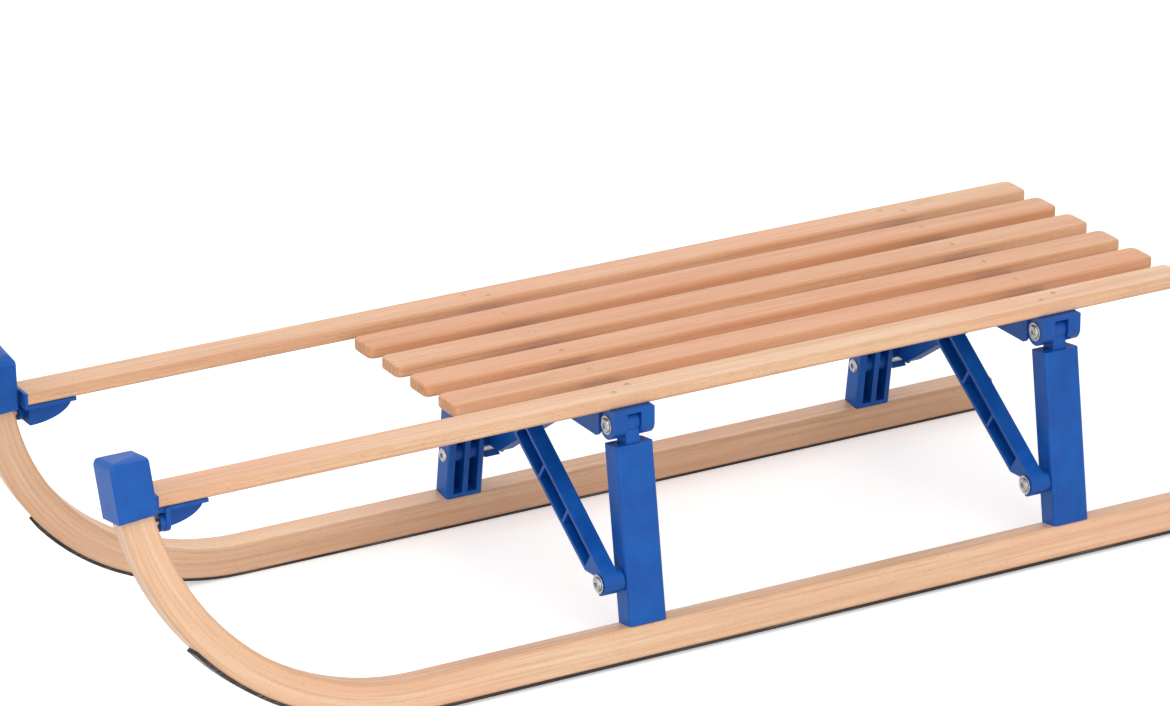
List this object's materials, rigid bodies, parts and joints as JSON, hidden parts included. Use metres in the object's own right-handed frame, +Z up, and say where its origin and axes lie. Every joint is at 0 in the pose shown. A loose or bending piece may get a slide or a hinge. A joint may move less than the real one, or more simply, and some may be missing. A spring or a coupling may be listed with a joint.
{
  "type": "folding sled",
  "caption": "Slatted wooden sled on bent wood runners with steel soles, moulded posts, crossbars and bow caps; the runners fold in under the seat once the hooked struts are lifted.",
  "frame": {"origin": "on the ground under the centre of the unfolded sled's bounding box", "axes": "+X forward, towards the raised runner tips; +Y to the rider's left; +Z up"},
  "size_m": [0.986, 0.337, 0.2526],
  "materials": {
    "seat_wood": "satin varnish",
    "runner_wood": "satin varnish",
    "sole_steel": "dull bare strip",
    "zinc_steel": "zinc plated",
    "blue_plastic": "moulded, low sheen"
  },
  "bodies": {
    "seat": {"slat_1": "seat_wood", "slat_2": "seat_wood", "slat_3": "seat_wood", "slat_4": "seat_wood", "rail_left": "seat_wood", "rail_right": "seat_wood", "crossbar_front": "blue_plastic", "crossbar_rear": "blue_plastic", "front_bracket_left": "blue_plastic", "front_pin_left": "zinc_steel", "hinge_bolt_front_left": "zinc_steel", "strut_pin_front_left": "zinc_steel", "hinge_bolt_rear_left": "zinc_steel", "strut_pin_rear_left": "zinc_steel", "front_bracket_right": "blue_plastic", "front_pin_right": "zinc_steel", "hinge_bolt_front_right": "zinc_steel", "strut_pin_front_right": "zinc_steel", "hinge_bolt_rear_right": "zinc_steel", "strut_pin_rear_right": "zinc_steel"},
    "leg_left": {"runner_left": "runner_wood", "sole_left": "sole_steel", "cap_left": "blue_plastic", "post_front_left": "blue_plastic", "post_rear_left": "blue_plastic", "stud_front_left": "zinc_steel", "stud_rear_left": "zinc_steel"},
    "leg_right": {"runner_right": "runner_wood", "sole_right": "sole_steel", "cap_right": "blue_plastic", "post_front_right": "blue_plastic", "post_rear_right": "blue_plastic", "stud_front_right": "zinc_steel", "stud_rear_right": "zinc_steel"},
    "strut_front_left_body": {"strut_front_left": "blue_plastic"},
    "strut_rear_left_body": {"strut_rear_left": "blue_plastic"},
    "strut_front_right_body": {"strut_front_right": "blue_plastic"},
    "strut_rear_right_body": {"strut_rear_right": "blue_plastic"}
  },
  "joints": [
    {"name": "fold_left", "type": "hinge", "parent": "seat", "child": "leg_left", "pos_m": [0.042, 0.13, 0.19411], "axis": [-1, 0, 0], "range_deg": [0, 87.5]},
    {"name": "fold_right", "type": "hinge", "parent": "seat", "child": "leg_right", "pos_m": [0.042, -0.13, 0.19411], "axis": [1, 0, 0], "range_deg": [0, 54.5]},
    {"name": "strut_turn_front_left", "type": "hinge", "parent": "seat", "child": "strut_front_left_body", "pos_m": [0.073, -0.03, 0.19011], "axis": [1, 0, 0], "range_deg": [0, 34.5]},
    {"name": "strut_turn_rear_left", "type": "hinge", "parent": "seat", "child": "strut_rear_left_body", "pos_m": [-0.332, -0.03, 0.19011], "axis": [1, 0, 0], "range_deg": [0, 34.5]},
    {"name": "strut_turn_front_right", "type": "hinge", "parent": "seat", "child": "strut_front_right_body", "pos_m": [0.011, 0.03, 0.19011], "axis": [-1, 0, 0], "range_deg": [0, 34.5]},
    {"name": "strut_turn_rear_right", "type": "hinge", "parent": "seat", "child": "strut_rear_right_body", "pos_m": [-0.394, 0.03, 0.19011], "axis": [-1, 0, 0], "range_deg": [0, 34.5]}
  ],
  "couplings": [
    {"joint": "strut_turn_front_left", "follows": "fold_left", "ratio": 0.3911},
    {"joint": "strut_turn_rear_left", "follows": "fold_left", "ratio": 0.3911},
    {"joint": "strut_turn_front_right", "follows": "fold_left", "ratio": 0.3911},
    {"joint": "strut_turn_rear_right", "follows": "fold_left", "ratio": 0.3911}
  ]
}
